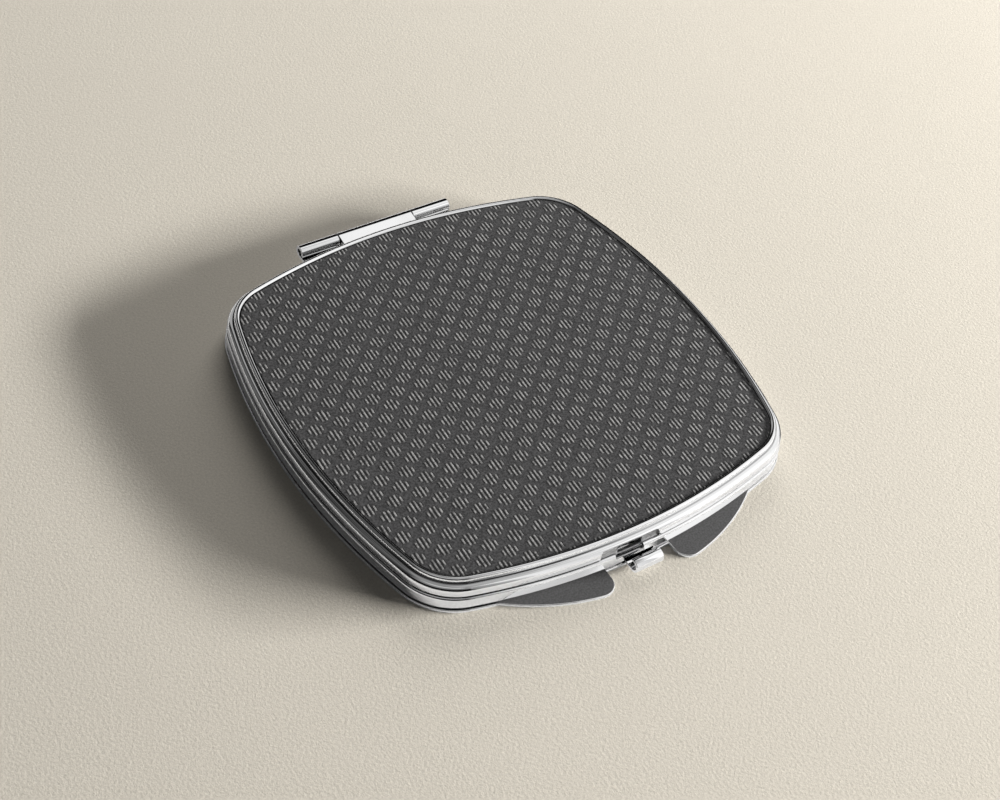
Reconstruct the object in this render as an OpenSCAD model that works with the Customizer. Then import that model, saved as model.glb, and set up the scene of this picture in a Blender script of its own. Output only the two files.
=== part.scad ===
// Compact mirror: a slim square case with bowed sides, closed.
// Millimetres, +Z up. The origin is the centre of the underside, under the middle of the lid's panel.
// The hinge is at +Y and the thumb catch at -Y.

/* [Case outline] */
// Width of the lid's panel between the middles of two opposite sides
panel_w = 60; // [54:0.5:72]
// Radius of the bowed sides of the panel
side_r = 86; // [75:1:110]
// Radius of the panel's corners
corner_r = 6.7; // [6.4:0.1:9]

/* [Lid shell] */
// Height of the lid from its lower edge to the crest of the bezel
lid_h = 2.5; // [2.5:0.05:3.2]
// Sheet thickness of the walls of both shells
wall_t = 0.45; // [0.35:0.01:0.5]
// Sheet thickness of the lid's top, under the panel
web_t = 0.4; // [0.3:0.05:0.5]
// Reach of the lid's wall outside the panel
lid_reach = 1.7; // [1.6:0.05:1.9]
// Width of the bright bezel round the panel
bezel_w = 0.76; // [0.6:0.02:0.8]
// Radius of the lid's shoulder, from the wall to the foot of the bezel
shoulder_r = 0.72; // [0.6:0.02:0.78]
// Radius of the lid's lower edge
lid_edge_r = 0.25; // [0.1:0.01:0.3]

/* [Base shell] */
// Height of the base's wall above the base plate
base_h = 2; // [2:0.05:2.6]
// Reach of the base's wall outside the panel
base_reach = 1.85; // [1.75:0.05:2]
// Radius of the base wall's lower shoulder
foot_r = 0.5; // [0.3:0.05:0.6]
// Height of the opening between the lid's edge and the base's edge
seam_gap = 0.06; // [0.04:0.01:0.1]
// Width of the flange by which the base's wall sits on the plate, inside the panel's outline
foot_flange_w = 1.2; // [0.8:0.1:1.5]

/* [Base plate and ears] */
// Thickness of the base plate
plate_t = 0.45; // [0.4:0.05:0.6]
// Reach of the base plate outside the panel
plate_reach = 2; // [1.95:0.05:2.2]
// Reach of the two finger ears in front of the panel's middle side
ear_reach = 5.4; // [4.8:0.1:6]
// Radius of an ear's outer edge
ear_arc_r = 29; // [27:0.5:32]
// Distance of the centre of that edge from the middle
ear_arc_x = 2.2; // [1.8:0.1:2.8]
// Half the width of the gap between the ears
ear_gap_half = 4.8; // [4.4:0.1:5.2]
// Radius of the ear's rounded inner corner
ear_corner_r = 2; // [1.4:0.1:2.2]
// Thickness of the dark facing on each ear
facing_t = 0.06; // [0.04:0.01:0.08]

/* [Panel and mirrors] */
// Thickness of the textured panel
panel_t = 0.55; // [0.45:0.05:0.6]
// Thickness of the tape under the panel
panel_tape_t = 0.1; // [0.08:0.01:0.15]
// Depth of the panel's face under the crest of the bezel
panel_drop = 0.25; // [0.15:0.05:0.3]
// Distance from the panel's outline in to the edge of each mirror
mirror_inset = 3.6; // [3.4:0.1:4]
// Thickness of the flat mirror in the lid
lid_mirror_t = 0.76; // [0.6:0.02:0.8]
// Thickness of the magnifying mirror in the base at its edge
base_mirror_t = 1.1; // [1:0.05:1.15]
// Radius of the hollow face of the magnifying mirror
magnifier_r = 900; // [800:50:1500]
// Thickness of the board under the magnifying mirror
board_t = 0.4; // [0.3:0.05:0.45]
// Thickness of the foam tape behind each mirror
mirror_tape_t = 0.15; // [0.1:0.01:0.16]

/* [Hinge] */
// Distance of the hinge pin behind the panel's rear side
hinge_back = 3.85; // [3.7:0.05:4.2]
// Radius of the hinge barrel
barrel_r = 0.95; // [0.9:0.01:1.05]
// Sheet thickness of the hinge leaves
leaf_t = 0.42; // [0.35:0.01:0.45]
// Radius of the hinge pin
pin_r = 0.5; // [0.4:0.01:0.5]
// Length of the whole barrel
barrel_l = 24.2; // [20:0.2:28]
// Length of each of its two outer knuckles
outer_knuckle_l = 6; // [5:0.1:7]

/* [Catch] */
// Distance of the keeper's slot from the middle, to the left
slot_shift = 1.5; // [1:0.1:1.8]
// Width of the keeper's slot and of the notch under it
slot_w = 4.2; // [3.8:0.1:4.6]
// Width of the window in the lid's wall that holds the keeper
window_w = 8.8; // [8:0.1:9.4]
// Thickness of the keeper
keeper_t = 0.35; // [0.3:0.01:0.38]
// Width of the thumb tab
tab_w = 4.1; // [3.6:0.1:4.4]
// Outer radius of the curled thumb tab
tab_r = 0.95; // [0.85:0.01:1]
// Distance of the curl's centre in front of the panel
tab_out = 3.3; // [3.25:0.05:3.5]
// Sheet thickness of the catch lever
lever_t = 0.35; // [0.3:0.01:0.38]
// Radius of the catch pin
catch_pin_r = 0.27; // [0.22:0.01:0.28]
// Lift of the thumb tab, in degrees, that the openings round the lever leave free
catch_lift = 12; // [8:1:13]

/* [Hidden] */
$fn = 96;
side_fn = 720;
arc_step = 11.25;
// Overrun of the cutting solids past what they cut
over = 0.5;
// Clearance between pieces that are fitted together and don't move
fit = 0.02;
// Radial clearance of a turning joint
run_gap = 0.03;

// Outline: the sides are arcs about points at side_back, and each corner is an arc about the point
// [corner_c, corner_c]. Both arcs run into each other on the line through their two centres. The
// corner's centre takes the nearest place on a grid at which the corner's radius is as good as a
// round number, so that side and corner meet without a step.
half = panel_w / 2;
side_back = side_r - half;
grid = 0.001;
fine = 0.01 * grid;
round_enough = 0.004;
near = round((sqrt(2 * pow(side_r - corner_r, 2) - pow(side_back, 2)) - side_back) / 2 / grid);
function radius_at(c) = (side_r - norm([c, c + side_back])) / fine;
function step_at(c) = abs(radius_at(c) - round(radius_at(c)));
places = [for (i = [0:999]) for (c = grid * [near - i, near + i]) if (step_at(c) < round_enough) c];
corner_c = places[0];
round_r = fine * round(radius_at(corner_c));
seam_way = [corner_c, corner_c + side_back];
band = corner_r / 2;

// Heights from the surface that the case lies on
seam_z = plate_t + base_h;
lid_z = seam_z + seam_gap;
crest_z = lid_z + lid_h;
panel_top_z = crest_z - panel_drop;
panel_z = panel_top_z - panel_t;
recess_z = panel_z - panel_tape_t;
web_z = recess_z - web_t;
hinge_z = seam_z + seam_gap / 2;
hinge_y = half + hinge_back;

// Bezel and shoulder of the lid
panel_gap = 0.04;
bezel_r = bezel_w / 2;
bezel_out = panel_gap + bezel_w;
shoulder_step_share = 0.15;
shoulder_top = recess_z + shoulder_step_share * web_t;

// Mirrors: the bevel round each, the tape's distance from the edge, and the radius in plan of the
// magnifying mirror's hollow
bevel_w = 1.2;
bevel_h = 0.12;
tape_in = 1;
dish_r = half - mirror_inset - 1.5 * bevel_w;
dish_steps = 12;

// Mirror frames
frame_t = 0.2;
frame_lip = 0.6;
frame_leg_t = 0.35;
frame_drop = 0.05;
frame_gap = 0.1;
frame_seat = fit;

// Bright edge left round each ear's facing
facing_edge = 0.12;

// Hinge leaves
bore_r = pin_r + fit / 2;
turning_bore_r = pin_r + run_gap;
knuckle_gap = 0.05;
middle_l = barrel_l - 2 * outer_knuckle_l - 2 * knuckle_gap;
leaf_in = 0.1;
leaf_gap = 0.05;
pin_short = 0.3;

// Catch: the lever turns on a pin close behind the front wall
keeper_in = 0.25;
keeper_back = lid_reach - keeper_in - keeper_t;
keeper_hang = 0.26;
keeper_bar = 0.32;
keeper_leg = 0.22;
window_corner_r = 0.5;
window_rise = 0.25;
window_top = web_z + window_rise;
notch_drop = 0.58;
lever_knuckle_r = catch_pin_r + run_gap + lever_t;
tail_gap = 0.06;
tail_z = plate_t + tail_gap;
catch_z = tail_z + lever_knuckle_r;
catch_out = 0.1;
catch_y = -half - catch_out;
tab_z = tail_z + tab_r;
tab_y = -half - tab_out;
curl_open = 20;
nose_t = 0.3;
nose_gap = 0.3;
nose_rise = 0.08;
nose_z = lid_z - keeper_hang + keeper_bar + nose_rise;
nose_w = 3;
nose_x = -slot_shift;
knuckle_x0 = nose_x - nose_w / 2;
knuckle_x1 = tab_w / 2;
bracket_t = 0.3;
bracket_gap = 0.06;
spring_wire_r = 0.11;
spring_gap = 0.06;
spring_coil_r = catch_pin_r + spring_gap + spring_wire_r;
spring_pitch = 0.68;
spring_turns = 2;
spring_steps = 24;
spring_sides = 8;
spring_room = spring_turns * spring_pitch + 4 * spring_wire_r;
bracket_x0 = knuckle_x0 - spring_room - bracket_gap;
bracket_x1 = knuckle_x1 + bracket_gap;
bracket_ear_r = 0.62;
bracket_floor_gap = 0.3;
bracket_floor_y0 = catch_y + lever_knuckle_r + bracket_floor_gap;
bracket_floor_l = 1.7;
rivet_r = 0.35;
rivet_head_r = 0.6;
rivet_head_h = 0.25;

// Points of an arc about a centre, for the profiles
function arc(cx, cz, r, a0, a1, step = arc_step) = let (steps = ceil(abs(a1 - a0) / step))
    [for (i = [0:steps]) let (a = a0 + (a1 - a0) * i / steps) [cx + r * cos(a), cz + r * sin(a)]];

// Front and rear of the outline at the distance d outside the panel, at the offset x from the middle
function side_y(d, x) = sqrt(pow(side_r + d, 2) - pow(x, 2)) - side_back;

// Carries a profile round the whole case. The profile's X is the distance outside the panel's edge
// and its Y is the height. Each side and each corner is a true surface of revolution about its own
// centre, and the two are cut off by the plane through both centres.
module sweep() {
    for (k = [0:3]) rotate(90 * k) {
        intersection() {
            translate([0, -side_back]) rotate_extrude($fn = side_fn) translate([side_r, 0]) children();
            side_part();
        }
        intersection() {
            translate([corner_c, corner_c]) rotate_extrude($fn = side_fn) translate([round_r, 0]) children();
            corner_part();
        }
    }
}

// The parts of the plan that belong to one side and to one corner
module side_part() {
    upright() polygon([[-corner_c, corner_c], [corner_c, corner_c], seam_way + [corner_c, corner_c],
        [-seam_way.x - corner_c, seam_way.y + corner_c]]);
}

module corner_part() {
    upright() polygon([[corner_c, corner_c], seam_way + [corner_c, corner_c], [seam_way.y + corner_c, seam_way.x + corner_c]]);
}

// Prism that reaches well past the case both ways
module upright() {
    translate([0, 0, -half]) linear_extrude(2 * half) children();
}

// Carries a profile along the front side, and on round that side's own centre
module front_sweep() {
    translate([0, side_back]) rotate_extrude($fn = side_fn) translate([side_r, 0]) children();
}

// Flat sheet with the case's outline at the distance d outside the panel
module sheet(d, t) {
    for (k = [0:3]) rotate(90 * k) {
        intersection() {
            translate([0, -side_back]) cylinder(r = side_r + d, h = t, $fn = side_fn);
            side_part();
        }
        intersection() {
            translate([corner_c, corner_c]) cylinder(r = round_r + d, h = t, $fn = side_fn);
            corner_part();
        }
    }
    translate([-corner_c, -corner_c]) cube([2 * corner_c, 2 * corner_c, t]);
}

// Rod along X
module rod(r, l) {
    rotate([0, 90, 0]) cylinder(r = r, h = l);
}

// Box from one corner to the opposite one
module box(a, b) {
    translate(a) cube(b - a);
}

// Upright opening through the front wall, with rounded upper corners
module front_window(w, z0, z1, r, y0, y1) {
    outline = concat([[-w / 2, z0], [w / 2, z0]], arc(w / 2 - r, z1 - r, r, 0, 90),
                     arc(r - w / 2, z1 - r, r, 90, 180));
    translate([0, y1, 0]) rotate([90, 0, 0]) linear_extrude(y1 - y0) polygon(outline);
}

// Lid

module lid_shell_profile() {
    inner = lid_reach - wall_t;
    shoulder_c = lid_reach - shoulder_r;
    outline = concat(
        [[-band, web_z], [inner, web_z], [inner, lid_z]],
        arc(lid_reach - lid_edge_r, lid_z + lid_edge_r, lid_edge_r, -90, 0),
        arc(shoulder_c, shoulder_top - shoulder_r, shoulder_r, 0, 90),
        [[bezel_out, shoulder_top]],
        arc(panel_gap + bezel_r, crest_z - bezel_r, bezel_r, 0, 180),
        [[panel_gap, recess_z], [-band, recess_z]]
    );
    polygon(outline);
}

module lid_shell() {
    color("silver") difference() {
        union() {
            sweep() lid_shell_profile();
            translate([0, 0, web_z]) sheet(-band, web_t);
        }
        // Window for the keeper, cut in from the front as deep as the keeper's back
        difference() {
            translate([-slot_shift, 0, 0])
                front_window(window_w, lid_z - over, window_top, window_corner_r, -half - lid_reach - over,
                             -half);
            front_sweep() translate([-band, lid_z - over])
                square([band + keeper_back - fit, lid_h + over]);
        }
        // Slot for the hinge leaf
        leaf_slot(-middle_l / 2, middle_l / 2, hinge_z + barrel_r - leaf_t, lid_reach);
    }
}

module leaf_slot(x0, x1, z, reach) {
    box([x0 - leaf_gap, half - over, z - fit], [x1 + leaf_gap, half + reach + over, z + leaf_t + fit]);
}

module panel_tape() {
    color("ivory") translate([0, 0, recess_z]) sheet(-panel_gap, panel_tape_t);
}

module lid_panel() {
    edge_r = panel_t / 4;
    color([0.28, 0.28, 0.29]) {
        sweep() polygon(concat([[-band, panel_z], [0, panel_z]],
            arc(-edge_r, panel_top_z - edge_r, edge_r, 0, 90), [[-band, panel_top_z]]));
        translate([0, 0, panel_z]) sheet(-band, panel_t);
    }
}

// Mirrors, their tapes and their frames

// Mirror glass with a bevelled face. Its bevelled face is up.
module mirror_glass(t) {
    sweep() translate([-mirror_inset, 0])
        polygon([[-bevel_w, 0], [0, 0], [0, t - bevel_h], [-bevel_w, t]]);
    sheet(-mirror_inset - bevel_w, t);
}

module lid_mirror_tape() {
    color("white") translate([0, 0, web_z - mirror_tape_t]) sheet(-mirror_inset - tape_in, mirror_tape_t);
}

module base_mirror_tape() {
    color("white") translate([0, 0, plate_t + board_t]) sheet(-mirror_inset - tape_in, mirror_tape_t);
}

module lid_mirror() {
    color([0.75, 0.8, 0.85]) translate([0, 0, web_z - mirror_tape_t]) mirror([0, 0, 1]) mirror_glass(lid_mirror_t);
}

module base_mirror() {
    z = plate_t + board_t + mirror_tape_t;
    dish_ang = asin(dish_r / magnifier_r);
    dish_z = z + base_mirror_t + magnifier_r * cos(dish_ang);
    color([0.75, 0.8, 0.85]) difference() {
        translate([0, 0, z]) mirror_glass(base_mirror_t);
        rotate_extrude($fn = side_fn) polygon(concat([[0, z + base_mirror_t + over]],
            arc(0, dish_z, magnifier_r, -90, dish_ang - 90, dish_ang / dish_steps),
            [[dish_r, z + base_mirror_t + over]]));
    }
}

// Channel-shaped frame that holds a mirror: a flat rim with a lip over the glass, a leg beside the
// glass and a leg inside the shell's wall. Its rim is at the height h over the sheet that it sits on.
module mirror_frame(h, reach) {
    lip_x = -mirror_inset - frame_lip;
    leg_x = -mirror_inset + frame_seat;
    sweep() polygon([[lip_x, h], [reach, h], [reach, 0], [reach - frame_leg_t, 0],
        [reach - frame_leg_t, h - frame_t], [leg_x + frame_leg_t, h - frame_t], [leg_x + frame_leg_t, 0],
        [leg_x, 0], [leg_x, h - frame_t], [lip_x, h - frame_t]]);
}

module lid_mirror_frame() {
    h = web_z - lid_z - frame_drop;
    reach = lid_reach - wall_t - frame_gap;
    side = window_w / 2 + over;
    color("silver") difference() {
        translate([0, 0, web_z]) mirror([0, 0, 1]) mirror_frame(h, reach);
        // Room for the keeper and for the hinge leaf
        difference() {
            box([-slot_shift - side, -half - lid_reach, lid_z - over], [-slot_shift + side, -half, web_z + over]);
            front_sweep() translate([-band, 0])
                square([band + keeper_back - frame_gap - frame_leg_t, crest_z]);
        }
        box([-middle_l / 2 - over, half - leaf_in - over, lid_z + frame_drop + frame_t],
            [middle_l / 2 + over, half + lid_reach, web_z + over]);
        nose_room(lid_z - over, lid_z + 2 * frame_t);
    }
}

module base_mirror_frame() {
    z = plate_t + board_t;
    h = base_h - board_t - frame_drop;
    reach = base_reach - wall_t - frame_gap;
    color("silver") difference() {
        translate([0, 0, z]) mirror_frame(h, reach);
        // Room under the rim for the catch and for the hinge leaves
        box([bracket_x0 - bracket_t - over, -half - base_reach, z - over],
            [bracket_x1 + bracket_t + over, -half, z + h - frame_t]);
        box([-barrel_l / 2 - over, half - leaf_in - over, z - over],
            [barrel_l / 2 + over, half + base_reach, z + h - frame_t]);
        nose_room(z + h - 2 * frame_t, z + h + over);
    }
}

// Opening in a mirror frame's rim round the nose of the catch
module nose_room(z0, z1) {
    back = catch_y + lever_knuckle_r + (nose_z + nose_t - catch_z) * sin(catch_lift) + 2 * frame_gap;
    box([nose_x - slot_w / 2, -half - base_reach - over, z0], [nose_x + slot_w / 2, back, z1]);
}

module mirror_board() {
    color([0.35, 0.33, 0.3]) difference() {
        translate([0, 0, plate_t]) sheet(-foot_flange_w - frame_gap, board_t);
        catch_room(frame_gap);
    }
}

// Room round the bracket of the catch, in the board and in the base shell's flange
module catch_room(gap) {
    box([bracket_x0 - bracket_t - gap, -half - base_reach + wall_t, plate_t - over],
        [bracket_x1 + bracket_t + gap, bracket_floor_y0 + bracket_floor_l + gap, plate_t + board_t + over]);
}

// Base

// One finger ear in plan, on the right-hand side: a disc cut by the gap, with a rounded inner corner
module ear(inset) {
    r = ear_arc_r - inset;
    fillet = ear_corner_r - inset;
    arc_y = ear_arc_r - half - ear_reach;
    x0 = ear_gap_half + inset;
    fillet_x = x0 + fillet;
    fillet_y = arc_y - sqrt(pow(r - fillet, 2) - pow(fillet_x - ear_arc_x, 2));
    toward = [fillet_x - ear_arc_x, fillet_y - arc_y] / (r - fillet);
    wedge = [[fillet_x, fillet_y], [x0 - over, fillet_y], [x0 - over, fillet_y - 2 * ear_corner_r],
             [fillet_x, fillet_y] + toward * 2 * ear_corner_r];
    difference() {
        intersection() {
            translate([ear_arc_x, arc_y]) cylinder(r = r, h = plate_t, $fn = side_fn);
            translate([x0, -half - 2 * ear_reach]) cube([half, 3 * ear_reach, plate_t]);
        }
        translate([0, 0, -over]) linear_extrude(plate_t + 2 * over) polygon(wedge);
    }
    intersection() {
        translate([fillet_x, fillet_y]) cylinder(r = fillet, h = plate_t);
        linear_extrude(plate_t) polygon(wedge);
    }
}

module both_sides() {
    children();
    mirror([1, 0, 0]) children();
}

module base_plate() {
    color("silver") difference() {
        union() {
            sheet(plate_reach, plate_t);
            both_sides() ear(0);
        }
        rivet_places() translate([0, 0, -over]) cylinder(r = rivet_r + fit, h = plate_t + 2 * over);
    }
}

module ear_facings() {
    foot = base_reach - foot_r + sqrt(pow(foot_r, 2) - pow(foot_r - facing_t, 2)) + 2 * fit;
    color([0.27, 0.27, 0.28]) difference() {
        translate([0, 0, plate_t]) both_sides() intersection() {
            ear(facing_edge);
            translate([0, -half - 2 * ear_reach, 0]) cube([corner_c, 3 * ear_reach, facing_t]);
        }
        translate([0, 0, plate_t - over]) sheet(foot, facing_t + 2 * over);
    }
}

module base_shell_profile() {
    inner = base_reach - wall_t;
    polygon(concat(
        [[-foot_flange_w, plate_t]],
        arc(base_reach - foot_r, plate_t + foot_r, foot_r, -90, 0),
        arc(inner, seam_z - wall_t, wall_t, 0, 90),
        [[inner, plate_t + board_t], [-foot_flange_w, plate_t + board_t]]
    ));
}

module base_shell() {
    tail_top = tail_z + lever_t + (half + base_reach + catch_y) * sin(catch_lift) + frame_gap;
    color("silver") difference() {
        sweep() base_shell_profile();
        // Notch under the keeper's slot
        box([-slot_shift - slot_w / 2, -half - base_reach - over, seam_z - notch_drop],
            [-slot_shift + slot_w / 2, -half, seam_z + over]);
        // Way out for the tail of the lever, and room round the bracket
        box([-tab_w / 2 - 2 * frame_gap, -half - base_reach - over, plate_t - over],
            [tab_w / 2 + 2 * frame_gap, -half, tail_top]);
        catch_room(frame_gap);
        // Slots for the hinge leaves, and room inside for their feet
        both_sides() {
            leaf_slot(middle_l / 2 + knuckle_gap, barrel_l / 2, hinge_z - barrel_r, base_reach);
            box([middle_l / 2 - frame_gap, half - leaf_in - over, plate_t - over],
                [barrel_l / 2 + frame_gap, side_y(base_reach - wall_t, barrel_l / 2), plate_t + board_t + over]);
        }
    }
}

// Hinge

// Knuckle rolled from the end of a leaf. The leaf runs forward from the barrel's top or bottom
// and ends in a foot that turns towards the sheet at foot_z.
module hinge_leaf(x0, x1, side, foot_z, r) {
    leaf_z = side > 0 ? hinge_z + barrel_r - leaf_t : hinge_z - barrel_r;
    leaf_y = half - leaf_in + leaf_t;
    difference() {
        union() {
            translate([x0, hinge_y, hinge_z]) rod(barrel_r, x1 - x0);
            box([x0, leaf_y - leaf_t, leaf_z], [x1, hinge_y, leaf_z + leaf_t]);
            box([x0, leaf_y - leaf_t, min(leaf_z, foot_z)], [x1, leaf_y, max(leaf_z + leaf_t, foot_z)]);
        }
        translate([x0 - over, hinge_y, hinge_z]) rod(r, x1 - x0 + 2 * over);
    }
}

module lid_hinge_leaf() {
    color("silver") hinge_leaf(-middle_l / 2, middle_l / 2, 1, web_z, turning_bore_r);
}

module base_hinge_leaves() {
    color("silver") {
        hinge_leaf(-barrel_l / 2, -middle_l / 2 - knuckle_gap, -1, plate_t, bore_r);
        hinge_leaf(middle_l / 2 + knuckle_gap, barrel_l / 2, -1, plate_t, bore_r);
    }
}

module hinge_pin() {
    l = barrel_l - 2 * pin_short;
    color("gray") translate([-l / 2, hinge_y, hinge_z]) rod(pin_r, l);
}

// Catch

module keeper_plate() {
    low = lid_z - keeper_hang;
    tongue = slot_w - 2 * frame_gap;
    color("gray") difference() {
        intersection() {
            front_sweep() translate([keeper_back, low]) square([keeper_t, crest_z - low]);
            translate([-slot_shift, 0, 0]) union() {
                front_window(window_w - 2 * fit, lid_z + fit, window_top - fit, window_corner_r - fit,
                             -half - lid_reach - over, -half);
                box([-tongue / 2, -half - lid_reach - over, low], [tongue / 2, -half, window_top / 2 + lid_z / 2]);
            }
        }
        box([-slot_shift - tongue / 2 + keeper_leg, -half - lid_reach - over, low + keeper_bar],
            [-slot_shift + tongue / 2 - keeper_leg, -half, window_top - keeper_leg]);
    }
}

module rivet_places() {
    y = bracket_floor_y0 + bracket_floor_l / 2;
    for (x = [bracket_x0 + bracket_ear_r * 2, bracket_x1 - bracket_ear_r * 2]) translate([x, y, 0]) children();
}

module catch_rivets() {
    color("gray") rivet_places() {
        cylinder(r = rivet_r, h = plate_t + bracket_t + rivet_head_h / 2);
        translate([0, 0, plate_t + bracket_t]) cylinder(r = rivet_head_r, h = rivet_head_h);
    }
}

// Bracket bent up from sheet: a floor behind the lever and an ear at each end of the pin
module catch_bracket() {
    y1 = bracket_floor_y0 + bracket_floor_l;
    color("silver") difference() {
        union() {
            box([bracket_x0 - bracket_t, bracket_floor_y0, plate_t], [bracket_x1 + bracket_t, y1, plate_t + bracket_t]);
            for (x = [bracket_x0 - bracket_t, bracket_x1]) {
                translate([x, catch_y, catch_z]) rod(bracket_ear_r, bracket_t);
                box([x, catch_y - bracket_ear_r, plate_t], [x + bracket_t, y1, catch_z]);
            }
        }
        translate([bracket_x0 - 2 * bracket_t, catch_y, catch_z])
            rod(catch_pin_r + fit / 2, bracket_x1 - bracket_x0 + 4 * bracket_t);
        rivet_places() cylinder(r = rivet_r + fit, h = plate_t + bracket_t + over);
    }
}

module catch_pin() {
    l = bracket_x1 - bracket_x0 + 2 * bracket_t;
    color("gray") translate([bracket_x0 - bracket_t, catch_y, catch_z]) rod(catch_pin_r, l);
}

// Tube along a list of points, each with its own pair of unit vectors across the tube
module tube(points, across, up, r, sides) {
    n = len(points);
    ring = [for (i = [0:n - 1]) for (j = [0:sides - 1]) let (a = 360 * j / sides)
        points[i] + r * cos(a) * across[i] + r * sin(a) * up[i]];
    walls = [for (i = [0:n - 2]) for (j = [0:sides - 1]) let (k = (j + 1) % sides)
        [i * sides + j, i * sides + k, (i + 1) * sides + k, (i + 1) * sides + j]];
    caps = [[for (j = [sides - 1:-1:0]) j], [for (j = [0:sides - 1]) (n - 1) * sides + j]];
    polyhedron(ring, concat(walls, caps));
}

// Torsion spring round the catch pin, beside the lever
module catch_spring() {
    x0 = bracket_x0 + 2 * spring_wire_r;
    count = spring_turns * spring_steps;
    points = [for (i = [0:count]) let (a = 360 * i / spring_steps)
        [x0 + spring_pitch * i / spring_steps, spring_coil_r * cos(a), spring_coil_r * sin(a)]];
    across = [for (i = [0:count]) let (a = 360 * i / spring_steps) [0, cos(a), sin(a)]];
    up = [for (i = [0:count]) [1, 0, 0]];
    color("silver") translate([0, catch_y, catch_z]) tube(points, across, up, spring_wire_r, spring_sides);
}

// Lever: the tail comes out under the front wall and curls into the thumb tab. Behind the wall it
// turns on the catch pin, and its upright arm carries the nose.
module catch_lever() {
    arm_y = catch_y + lever_knuckle_r;
    color("silver") difference() {
        union() {
            translate([knuckle_x0, catch_y, catch_z]) rod(lever_knuckle_r, knuckle_x1 - knuckle_x0);
            box([-tab_w / 2, tab_y, tail_z], [tab_w / 2, catch_y, tail_z + lever_t]);
            curl();
            box([knuckle_x0, arm_y - lever_t, catch_z], [knuckle_x0 + nose_w, arm_y, nose_z + nose_t]);
            box([knuckle_x0, -half - keeper_back + nose_gap, nose_z], [knuckle_x0 + nose_w, arm_y, nose_z + nose_t]);
        }
        translate([knuckle_x0 - over, catch_y, catch_z])
            rod(catch_pin_r + run_gap, knuckle_x1 - knuckle_x0 + 2 * over);
    }
}

// The curl runs from the tail's end round the front and over the top, and stays open at the rear
module curl() {
    opening = [[0, 0], [0, -2 * tab_r], [2 * tab_r, -2 * tab_r], [2 * tab_r, 2 * tab_r * tan(curl_open)]];
    translate([0, tab_y, tab_z]) difference() {
        translate([-tab_w / 2, 0, 0]) rod(tab_r, tab_w);
        translate([-tab_w, 0, 0]) rod(tab_r - lever_t, 2 * tab_w);
        rotate([90, 0, 90]) translate([0, 0, -tab_w]) linear_extrude(2 * tab_w) polygon(opening);
    }
}

lid_shell();
panel_tape();
lid_panel();
lid_mirror_tape();
lid_mirror();
lid_mirror_frame();
keeper_plate();
lid_hinge_leaf();
base_plate();
ear_facings();
base_shell();
mirror_board();
base_mirror_tape();
base_mirror();
base_mirror_frame();
base_hinge_leaves();
hinge_pin();
catch_bracket();
catch_pin();
catch_spring();
catch_rivets();
catch_lever();
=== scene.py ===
"""Looks of the compact mirror: its polished shells, textured panel, hinge, catch and mirrors."""

import math
from functools import partial

import bpy
from bpy.props import FloatProperty, FloatVectorProperty, PointerProperty
from mathutils import Matrix, Vector


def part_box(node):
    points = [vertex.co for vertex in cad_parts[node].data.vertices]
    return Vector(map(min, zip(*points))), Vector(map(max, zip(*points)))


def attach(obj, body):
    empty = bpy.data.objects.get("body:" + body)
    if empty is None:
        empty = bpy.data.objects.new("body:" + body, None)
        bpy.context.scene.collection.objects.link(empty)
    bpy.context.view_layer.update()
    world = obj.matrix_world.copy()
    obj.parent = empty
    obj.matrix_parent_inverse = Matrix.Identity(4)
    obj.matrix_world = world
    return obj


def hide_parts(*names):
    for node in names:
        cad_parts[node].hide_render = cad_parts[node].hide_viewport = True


bl_info = {
    "name": "Compact mirror",
    "version": (1, 0, 0),
    "blender": (4, 5, 0),
    "location": "3D View > Sidebar > Compact",
    "description": "Builds the looks of a slim square compact mirror round its fixed frame",
    "category": "Object",
}

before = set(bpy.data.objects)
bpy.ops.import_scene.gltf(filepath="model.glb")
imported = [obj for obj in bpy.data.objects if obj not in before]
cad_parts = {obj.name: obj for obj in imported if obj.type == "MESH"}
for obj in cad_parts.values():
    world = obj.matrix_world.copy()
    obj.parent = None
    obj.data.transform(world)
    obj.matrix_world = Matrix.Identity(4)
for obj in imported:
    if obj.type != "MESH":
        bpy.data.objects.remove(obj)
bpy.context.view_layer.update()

# Lengths and places are in millimetres, angles in degrees
MM = 0.001
LOW, HIGH = 0, 1
X, Y, Z = 0, 1, 2

# The panel's outline. Each side is an arc about a point behind the middle of the case and each corner
# an arc about a point on the diagonal. SEAM is half the angle of a side's arc.
SIDE_BACK = 56.0
SIDE_R = 86.0
CORNER_C = 20.603
SEAM = math.degrees(math.atan2(CORNER_C, CORNER_C + SIDE_BACK))
# How far the lid, the base's wall and the plate reach outside that outline
LID_REACH = 1.7
BASE_REACH = 1.85
PLATE_REACH = 2.0
# How far inside the outline the lid's and the panel's profiles end and their flat sheets start
FLAT_FROM = 3.35

# Middle of the keeper, of its window and of the notch under it, left of the case's middle
KEEPER_X = -1.5
# Front face of the lid leaf's foot, which stands against the inside of the lid's wall
LID_LEAF_Y = 30.83
# Hinge: radius of the barrel, thickness of its sheet, and where the roll ends below the leaf
BARREL_R = 0.95
LEAF_T = 0.42
ROLL_END = 203
PIN_R = 0.5
# Catch: thickness of the lever's sheet, radius of the curled tab, and the angle at which the curl ends,
# which leaves a dark gap behind the tab
LEVER_T = 0.35
TAB_R = 0.95
CURL_END = -302
# Mirrors: how far they stay inside the panel's outline, their bevel's width and depth, and their tape
MIRROR_INSET = 3.6
MIRROR_BEVEL = 1.2
BEVEL_DEEP = 0.12
TAPE_T = 0.15

# Room left beside a piece that passes through another one, and how far a cutter goes past what it cuts
PLAY = 0.05
CLEAR = 0.1
PAST = 0.5


def mm_of(node, corner, axis):
    """A coordinate of the LOW or HIGH corner of a node's box in millimetres."""
    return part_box(node)[corner][axis] / MM


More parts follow.
